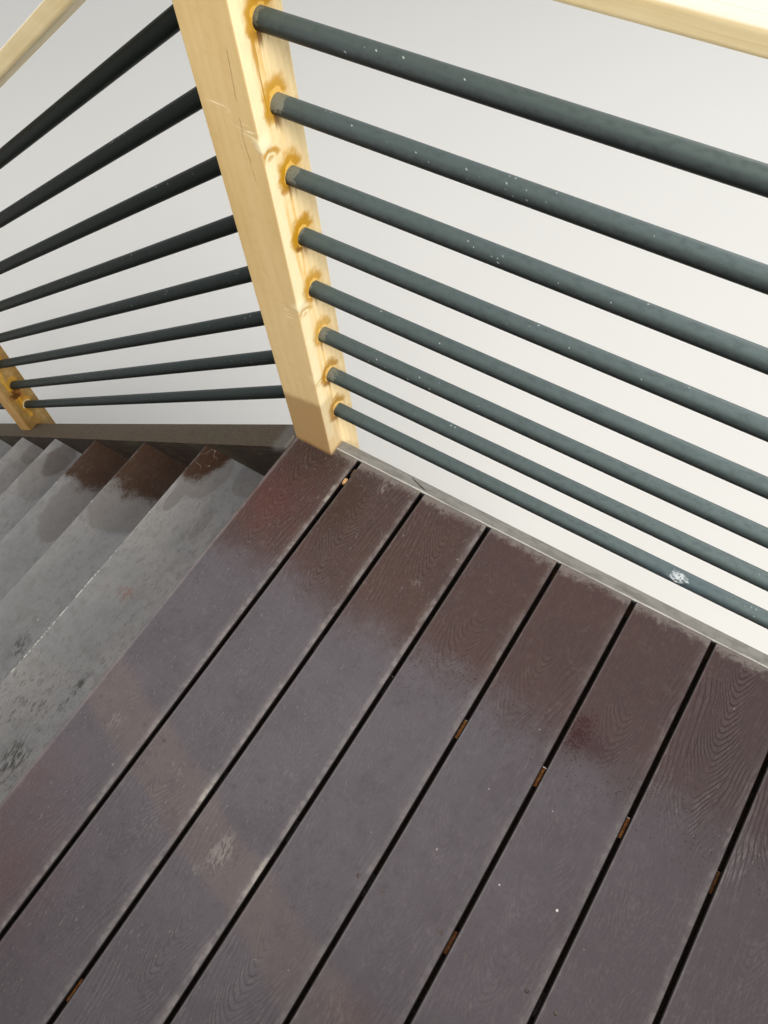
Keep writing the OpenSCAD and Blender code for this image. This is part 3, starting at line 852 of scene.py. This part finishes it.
def makePipeMaterial(look):
    made = surfaceFinish(look["name"], look)
    where = made.where
    x, y, z = where.split()
    mottle = where.stretch((0.6, 1, 1)).noise(130, 3, 0.6)
    made.ground(mottle.fade(0.4, 0.7), "paint", "deep")
    # worn collars beside each post
    faces = [postX + postHalf, postX - postHalf, stairPostHigh[0], stairPostLow[0], footPostHigh[0],
             endPostLow[0]]
    gap = abs(x - faces[0])
    for face in faces[1:]:
        gap = calc("MINIMUM", gap, abs(x - face))
    luck = (calc("ROUND", (z - lowPipeZ) / pipePitch) + calc("SIGN", y)).chance()
    upward = made.normal()[2]
    # dust and painted light: the upper sides paler
    dustAndTopLight = upward.fade(0.35, 1) * mottle.fade(0.3, 0.6, 0.6, 0.9)
    made.coat("dustAndLight", dustAndTopLight * x.fade(0.9, 1.7, 0.5, 1))
    made.coat("dustAndLight", x.fade(1.3, 2, 0, 0.28))
    # painted shade and dirt: the undersides darker
    made.coat("under", upward.fade(-0.35, 0.5, 0.92, 0))
    onTop = upward.fade(-0.3, 0.6)
    grain = where.noise(300, 2, 0.6)
    collarEnd = luck.fade(0.4, 0.95, 0, 0.016) + mottle.spread(0.022) + grain.spread(0.012)
    collar = (gap - collarEnd).fall(-0.002, 0.002) * onTop * grain.fade(0.3, 0.6, 0.4, 1)
    bigCollar = where.patch((postX + postHalf + 0.006, postY - 0.004, lowPipeZ + 6 * pipePitch + 0.008),
                            (0.017, 0.018, 0.014), 0.4, grain.spread(1.2))
    made.coat("collar", most(collar, bigCollar) * 0.65)
    fromLow = z - lowPipeZ - calc("MINIMUM", x - (postX - postHalf), 0) * slope
    shadow = x.fall(postX - 0.08, postX - 0.02) * fromLow.fade(0.1, 0.6, 0.55, 1)
    made.coat("shaded", shadow)
    slanted = join(x + z * 0.5, y, z * 2.2 + x * 0.7)
    tiny = useGroup(specks, Where=slanted, Scale=120, Size=0.17, Share=0.22)["Mask"]
    patchy = where.noise(4, 1).fade(0.48, 0.62)
    made.coat("fleck", tiny * patchy * onTop * 0.8)
    # rubbed bare place on the lowest pipe, with a bluish smear round it
    smearX, smearReach = look["smearAt"]
    smear = where.patch((smearX, postY, lowPipeZ), smearReach, 0.9, mottle.spread(0.8))
    bareX, bareReach = look["bareAt"]
    bare = where.patch((bareX, postY - 0.008, lowPipeZ + 0.009), bareReach, 0.5, mottle.spread(2))
    made.coat("smear", smear * 0.45)
    made.coat("bare", bare * grain.fade(0.35, 0.55) * 0.9)
    roughness = 0.4 + mottle * 0.12 + collar * 0.2
    return made.done(roughness, None, 0, look["gloss"])


finishes = {
    "red_brown_decking": makeDeckMaterial(deckLook),
    "weathered_tread": makeTreadMaterial(treadLook),
    "weathered_stringer": makeStringerMaterial(stringerLook),
    "grey_fascia": makeFasciaMaterial(fasciaLook),
    "pale_post": makePostMaterial(postLook),
    "pale_rail": makeRailMaterial(railLook),
    "brown_framing": makeFramingMaterial(framingLook),
    "slate_pipe": makePipeMaterial(pipeLook),
}
# the sloping pipes are duller, with a darker painted shade
dullPipe = makePipeMaterial(dict(pipeLook, name="dullPipe", gloss=0.07, shaded="#0a100c"))
for name, obj in nodes.items():
    for slot in obj.material_slots:
        slot.material = dullPipe if "stair_pipes" in name else finishes[slot.material.name.split(".")[0]]
print("finishes made and given to the frame")


def plainFinish(name, color, other, roughness, depth, gloss):
    # a small part's finish: two close tones, a fine grain and a little relief
    made = surfaceFinish(name)
    grain = made.where.noise(160, 3, 0.6)
    made.ground(grain.fade(0.35, 0.65), color, other)
    return made.done(grain.fade(0.3, 0.7, roughness, roughness + 0.15), grain, depth, gloss)


def startTree(name, inputs):
    tree = bpy.data.node_groups.new(name, "GeometryNodeTree")
    tree.interface.new_socket(name="Geometry", in_out="INPUT", socket_type="NodeSocketGeometry")
    for label, value in inputs.items():
        kind = "NodeSocketInt" if isinstance(value, int) else "NodeSocketFloat"
        tree.interface.new_socket(name=label, in_out="INPUT", socket_type=kind)
    tree.interface.new_socket(name="Geometry", in_out="OUTPUT", socket_type="NodeSocketGeometry")
    bench = nodeBench(tree)
    start = bench.put("NodeGroupInput")
    return bench, {socket.name: wire(bench, socket) for socket in start.outputs}


def rowOf(count, step, x, y, z):
    # points in a row along X, one for each board or gap
    place = {"Count": count, "Start Location": join(x, y, z), "Offset": join(step, 0, 0)}
    return count.bench.out("GeometryNodeMeshLine", place, mode="OFFSET")


def scatter(seed, low, high):
    place = {"Min": low, "Max": high, "Seed": seed}
    return seed.bench.out("FunctionNodeRandomValue", place, data_type="FLOAT_VECTOR")


def setOut(points, seed, rotation=None):
    place = {"Points": points, "Instance": seed, "Rotation": rotation}
    return points.bench.out("GeometryNodeInstanceOnPoints", place)


def growPiece(name, seedMesh, geometry, material, values):
    # ends the tree, grows the mesh with it, and makes the piece
    bench = geometry.bench
    real = bench.out("GeometryNodeRealizeInstances", {"Geometry": geometry})
    coated = bench.out("GeometryNodeSetMaterial", {"Geometry": real, "Material": material})
    bench.put("NodeGroupOutput", {"Geometry": coated})
    seed = bpy.data.objects.new(name + "Seed", seedMesh)
    scene.collection.objects.link(seed)
    modifier = seed.modifiers.new("grow", "NODES")
    modifier.node_group = bench.tree
    for item in bench.tree.interface.items_tree:
        if item.item_type == "SOCKET" and item.in_out == "INPUT" and item.name in values:
            modifier[item.identifier] = values[item.name]
    depsgraph = bpy.context.evaluated_depsgraph_get()
    depsgraph.update()
    grown = bpy.data.meshes.new_from_object(seed.evaluated_get(depsgraph))
    seed.modifiers.clear()
    bpy.data.objects.remove(seed)
    return addPiece(name, grown)


def addPiece(name, mesh):
    mesh.name = name
    piece = bpy.data.objects.new(name, mesh)
    scene.collection.objects.link(piece)
    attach(piece, "root")


def meshFromWork(name, work):
    mesh = bpy.data.meshes.new(name)
    work.to_mesh(mesh)
    work.free()
    return mesh


def meshFromSections(name, sections):
    # skins a row of equal point rings, with both ends closed
    points = [p for ring in sections for p in ring]
    size = len(sections[0])
    faces = []
    for row in range(len(sections) - 1):
        a, b = row * size, (row + 1) * size
        faces += [(a + k, a + (k + 1) % size, b + (k + 1) % size, b + k) for k in range(size)]
    faces += [tuple(range(size))[::-1], tuple(range(len(points) - size, len(points)))]
    mesh = bpy.data.meshes.new(name)
    mesh.from_pydata(points, [], faces)
    work = bmesh.new()
    work.from_mesh(mesh)
    bmesh.ops.recalc_face_normals(work, faces=work.faces)
    work.to_mesh(mesh)
    work.free()
    return mesh


# places in the gaps that the clips and the dirt-and-shade strips share
joistLines = (0.233, -0.05, -0.405)
gapWidth = 0.006
gapEndY = boardHigh[1]
gapRows = {"Gap Count": boardCount, "Gap Step": boardPitch, "First X": boardLow[0] - gapWidth / 2}

clipLook = {
    "length": 0.034, "width": 0.019, "thick": 0.0024, "ridgeWidth": 0.0046, "ridgeTop": 0.0085,
    "drop": 0.013, "round": 0.0006, "edge": 0.0004, "slip": 0.0008, "seed": 4,
    "cover": "#d08a4c", "shade": "#a9693a", "clipDirtAndShade": "#1a130e",
    # bare, lit places: middle, reach, how bare and lit
    "bareLitPlaces": ((1.312, 0.233, 0.03, 0.04, 0.9), (1.459, 0.233, 0.03, 0.04, 1.0),
                    (1.605, 0.233, 0.03, 0.04, 0.85), (1.75, 0.233, 0.03, 0.04, 0.35),
                    (1.459, -0.05, 0.03, 0.04, 0.55), (1.022, -0.405, 0.03, 0.04, 0.8)),
}


def makeClipMaterial(look):
    # orange-brown where the clip is bare and lit, and nearly black where dirt and painted shade cover it
    made = surfaceFinish("clipBrown", look)
    grain = made.where.noise(160, 3, 0.6)
    bare = most(*patches(made.where, look["bareLitPlaces"], deckTop, 0.3))
    made.ground(bare, "clipDirtAndShade", tint(grain.fade(0.4, 0.6), "cover", "shade"))
    return made.done(grain.fade(0.3, 0.7, 0.5, 0.8), grain, 0.0004, 0.2)


def makeClips(look):
    # a low plate that lies in both grooves, with a ridge that shows in the gap
    half, wide, ridge = (look[key] / 2 for key in ("length", "width", "ridgeWidth"))
    thick = look["thick"]
    top = look["drop"] - look["ridgeTop"]
    shoulder = [(ridge, thick), (ridge * 0.9, top - look["edge"]), (ridge * 0.72, top)]
    outline = [(-wide, 0), (wide, 0), (wide, thick)] + shoulder
    outline += [(-px, pz) for px, pz in shoulder[::-1]] + [(-wide, thick)]
    ends = ((-half, 0.94), (-half + look["round"], 1.0), (half - look["round"], 1.0), (half, 0.94))
    seed = meshFromSections("clipSeed", [[(px * k, py, pz * k) for px, pz in outline] for py, k in ends])
    values = dict(gapRows, Height=deckTop - look["drop"], Slip=look["slip"], Seed=look["seed"])
    bench, given = startTree("clipRows", values)
    joined = bench.put("GeometryNodeJoinGeometry")
    for line in joistLines:
        row = rowOf(given["Gap Count"], given["Gap Step"], given["First X"], line, given["Height"])
        bench.feed(joined.inputs[0], row)
    slip = scatter(given["Seed"], (0.0, -1.0, -0.3), (0.0, 1.0, 0.3))
    slip = bench.out("ShaderNodeVectorMath", {0: slip, "Scale": given["Slip"]}, operation="SCALE")
    rows = wire(bench, joined.outputs[0])
    moved = bench.out("GeometryNodeSetPosition", {"Geometry": rows, "Offset": slip})
    placed = setOut(moved, given["Geometry"])
    growPiece("deck_clips", seed, placed, makeClipMaterial(look), values)


gapDirtAndShadeLook = {
    "width": 0.015, "thick": 0.003, "drop": 0.012, "step": 0.004, "clipRoom": 0.0015, "farEnd": 0.002,
    "nearEnd": 0.03, "sides": 10, "taper": 0.75, "lumps": 0.0008, "seed": 2.0,
    "dark": "#14100d", "light": "#2a2019",
}


def makeGapDirtAndShade(look):
    # packed dirt on the lower lips of the grooves, dark enough to stand for the shade under the deck,
    # broken where the clips are
    half = clipLook["length"] / 2 + look["clipRoom"]
    stops = [look["farEnd"] - gapEndY]
    for line in sorted(joistLines):
        stops += [line - half, line + half]
    stops.append(gapEndY - look["nearEnd"])
    turns = [2 * pi * k / look["sides"] for k in range(look["sides"])]
    ring = [(cos(a) * look["width"] / 2, sin(a) * look["thick"] / 2) for a in turns]
    work = bmesh.new()
    for low, high in zip(stops[::2], stops[1::2]):
        count = int((high - low) / look["step"])
        sections = []
        for row in range(count + 1):
            taper = look["taper"] if row in (0, count) else 1.0
            y = low + (high - low) * row / count
            sections.append([(px * taper, y, pz * taper) for px, pz in ring])
        work.from_mesh(meshFromSections("dirtAndShadeRun", sections))
    seed = meshFromWork("dirtSeed", work)
    values = dict(gapRows, Height=deckTop - look["drop"], Lumps=look["lumps"], Seed=look["seed"])
    bench, given = startTree("dirtAndShadeRuns", values)
    line = rowOf(given["Gap Count"], given["Gap Step"], given["First X"], 0, given["Height"])
    placed = setOut(line, given["Geometry"])
    real = bench.out("GeometryNodeRealizeInstances", {"Geometry": placed})
    place = bench.out("GeometryNodeInputPosition")
    inputs = {"Vector": place, "W": given["Seed"], "Scale": 180, "Detail": 2}
    lumps = bench.out("ShaderNodeTexNoise", inputs, noise_dimensions="4D")
    lift = join(0, 0, lumps.spread(4) * given["Lumps"])
    shaped = bench.out("GeometryNodeSetPosition", {"Geometry": real, "Offset": lift})
    smooth = bench.out("GeometryNodeSetShadeSmooth", {"Geometry": shaped})
    cover = plainFinish("gapDirt", look["dark"], look["light"], 0.85, 0.001, 0.1)
    growPiece("gap_dirt", seed, smooth, cover, values)


screwLook = {
    "radius": 0.0036, "proud": 0.0002, "rowY": -0.047, "inset": 0.0205, "sides": 16, "seed": 7,
    # rings from the recess out and down: share of the radius, lift; the recess has arms
    "rings": ((0.42, -0.0009), (0.55, -0.0001), (0.86, 0.0), (1.0, -0.0003), (0.9, -0.0016)),
    "recess": 0.6, "betweenArms": 0.45, "stray": (0.005, 0.003, 0.0002),
    "steel": "#2b2321", "dull": "#6a5b50",
}


def makeScrewMesh(look):
    # a countersunk head with a cross recess, as rings round one middle
    sides = look["sides"]
    work = bmesh.new()
    rings = []
    for share, lift in look["rings"]:
        ring = []
        for k in range(sides):
            angle = 2 * pi * k / sides
            r = share * look["radius"]
            if share < look["recess"] and k % 4:
                r *= look["betweenArms"]
            ring.append(work.verts.new((cos(angle) * r, sin(angle) * r, lift + look["proud"])))
        rings.append(ring)
    work.faces.new(rings[0][::-1])
    for a, b in zip(rings, rings[1:]):
        for k in range(sides):
            work.faces.new((a[k], a[(k + 1) % sides], b[(k + 1) % sides], b[k]))
    work.faces.new(rings[-1])
    bmesh.ops.recalc_face_normals(work, faces=work.faces)
    return meshFromWork("screwSeed", work)


def makeScrews(look):
    values = {
        "Board Count": boardCount + 1, "Board Step": boardPitch,
        "First X": boardLow[0] - boardPitch + look["inset"], "Spacing": boardWidth - 2 * look["inset"],
        "Row Y": look["rowY"], "Height": deckTop, "Seed": look["seed"],
    }
    bench, given = startTree("screwRows", values)
    joined = bench.put("GeometryNodeJoinGeometry")
    for start in (given["First X"], given["First X"] + given["Spacing"]):
        row = rowOf(given["Board Count"], given["Board Step"], start, given["Row Y"], given["Height"])
        bench.feed(joined.inputs[0], row)
    sx, sy, sz = look["stray"]
    stray = scatter(given["Seed"], (-sx, -sy, -sz), (sx, sy, 0.0))
    rows = wire(bench, joined.outputs[0])
    moved = bench.out("GeometryNodeSetPosition", {"Geometry": rows, "Offset": stray})
    placed = setOut(moved, given["Geometry"], scatter(given["Seed"], (0.0, 0.0, 0.0), (0.0, 0.0, 6.28)))
    cover = plainFinish("screwBrown", look["steel"], look["dull"], 0.45, 0.0004, 0.25)
    growPiece("face_screws", makeScrewMesh(look), placed, cover, values)


chipLook = {
    # middle, half size, turn
    "chips": (((0.87617, 0.5335, -0.0035), (0.0031, 0.0072, 0.0068), 0.0),
              ((0.87617, 0.561, -0.01), (0.0016, 0.0085, 0.003), 0.05)),
    "lumps": 0.22, "most": 1.06, "blocky": 0.6, "cover": "#ecc79a", "shade": "#bf8f5c",
}


def makeChips(look):
    # splinters of wood wedged in the gap beside the corner post, resting on the dirt-and-shade strip
    work = bmesh.new()
    for number, (middle, half, turn) in enumerate(look["chips"]):
        made = bmesh.ops.create_icosphere(work, subdivisions=3, radius=1.0)["verts"]
        for vert in made:
            lump = 1.0 + look["lumps"] * noise.noise(vert.co * 2.1 + Vector((number * 5.0, 0.0, 0.0)))
            blocky = [abs(c) ** look["blocky"] * (1 if c > 0 else -1) for c in vert.co]
            vert.co = Vector(b * h * min(lump, look["most"]) for b, h in zip(blocky, half))
        bmesh.ops.rotate(work, verts=made, cent=(0, 0, 0), matrix=Matrix.Rotation(turn, 3, "X"))
        bmesh.ops.translate(work, verts=made, vec=(middle[0], middle[1], deckTop + middle[2]))
    mesh = meshFromWork("gap_chips", work)
    mesh.shade_smooth()
    mesh.materials.append(plainFinish("lodgedWood", look["cover"], look["shade"], 0.6, 0.0008, 0.2))
    addPiece("gap_chips", mesh)


makeClips(clipLook)
# dark strips in the gaps: dirt that also stands in for the shade under the deck
makeGapDirtAndShade(gapDirtAndShadeLook)
makeScrews(screwLook)
makeChips(chipLook)
print("clips, dirt, screws and chips made")

backdropLevel = 0.86
white = (1, 1, 1, 1)


def seenRay(bench):
    # the backdrop shows to the camera and in what mirrors it, and adds no light
    rays = bench.put("ShaderNodeLightPath").outputs
    kinds = ("Is Camera Ray", "Is Glossy Ray", "Is Transmission Ray")
    return most(*[wire(bench, rays[kind]) for kind in kinds])


floorLook = {
    "half": 14.0, "fadeFrom": 5.0, "fadeTo": 12.0, "color": "#e9e7e2", "roughness": 0.9, "gloss": 0.1,
}


def makeFloor(look):
    size = look["half"]
    mesh = bpy.data.meshes.new("floor")
    corners = [(-size, -size, 0), (size, -size, 0), (size, size, 0), (-size, size, 0)]
    mesh.from_pydata(corners, [], [(0, 1, 2, 3)])
    floor = bpy.data.objects.new("floor", mesh)
    scene.collection.objects.link(floor)
    made = surfaceFinish("paleFloor", look)
    made.color = "color"
    mesh.materials.append(made.done(look["roughness"], gloss=look["gloss"]))
    # far from the stairs the camera sees the floor run into the backdrop
    x, y = made.where.split()[:2]
    far = calc("SQRT", x * x + y * y).fade(look["fadeFrom"], look["fadeTo"]) * seenRay(made.bench)
    backdrop = made.bench.out("ShaderNodeEmission", {"Color": white, "Strength": backdropLevel})
    mix = made.bench.out("ShaderNodeMixShader", {0: far, 1: made.surface, 2: backdrop})
    made.bench.feed(made.end.inputs[0], mix)


lampSetup = (
    # name, place, aim, size, watts, colour
    ("softKey", (8.6, -2.4, 8.2), (0.3, 0.2, 2.0), (4.6, 4.6), 1080.0, (1.0, 0.965, 0.9)),
    ("skyPanel", (0.2, 1.2, 7.2), (0.6, 0.2, 2.0), (6.0, 3.6), 48.0, (0.93, 0.965, 1.0)),
    ("sideFill", (-1.5, -6.0, 3.6), (0.3, 0.4, 2.2), (3.5, 3.5), 190.0, (1.0, 0.985, 0.95)),
    ("stairFill", (-6.0, -2.5, 5.5), (-0.3, 0.0, 1.4), (3.0, 3.0), 125.0, (1.0, 0.99, 0.97)),
    ("backFill", (2.0, 6.5, 4.5), (0.3, 0.0, 1.6), (3.5, 3.5), 130.0, (1.0, 1.0, 1.0)),
)


def makeLamps(setup):
    for name, place, aim, size, watts, color in setup:
        data = bpy.data.lights.new(name, "AREA")
        data.shape = "RECTANGLE"
        data.size, data.size_y = size
        data.energy = watts
        data.color = color
        lamp = bpy.data.objects.new(name, data)
        lamp.location = place
        lamp.rotation_euler = (Vector(aim) - Vector(place)).to_track_quat("-Z", "Y").to_euler()
        scene.collection.objects.link(lamp)


worldLook = {"color": (0.93, 0.96, 1.0, 1.0), "level": 0.31}


def makeWorld(look):
    world = bpy.data.worlds.new("paleStudio")
    scene.world = world
    world.use_nodes = True
    world.node_tree.nodes.clear()
    bench = nodeBench(world.node_tree)
    light = bench.out("ShaderNodeBackground", {"Color": look["color"], "Strength": look["level"]})
    seen = bench.out("ShaderNodeBackground", {"Color": white, "Strength": backdropLevel})
    mix = bench.out("ShaderNodeMixShader", {0: seenRay(bench), 1: light, 2: seen})
    bench.put("ShaderNodeOutputWorld", {0: mix})


makeFloor(floorLook)
makeLamps(lampSetup)
makeWorld(worldLook)
print("floor, lamps and world made")
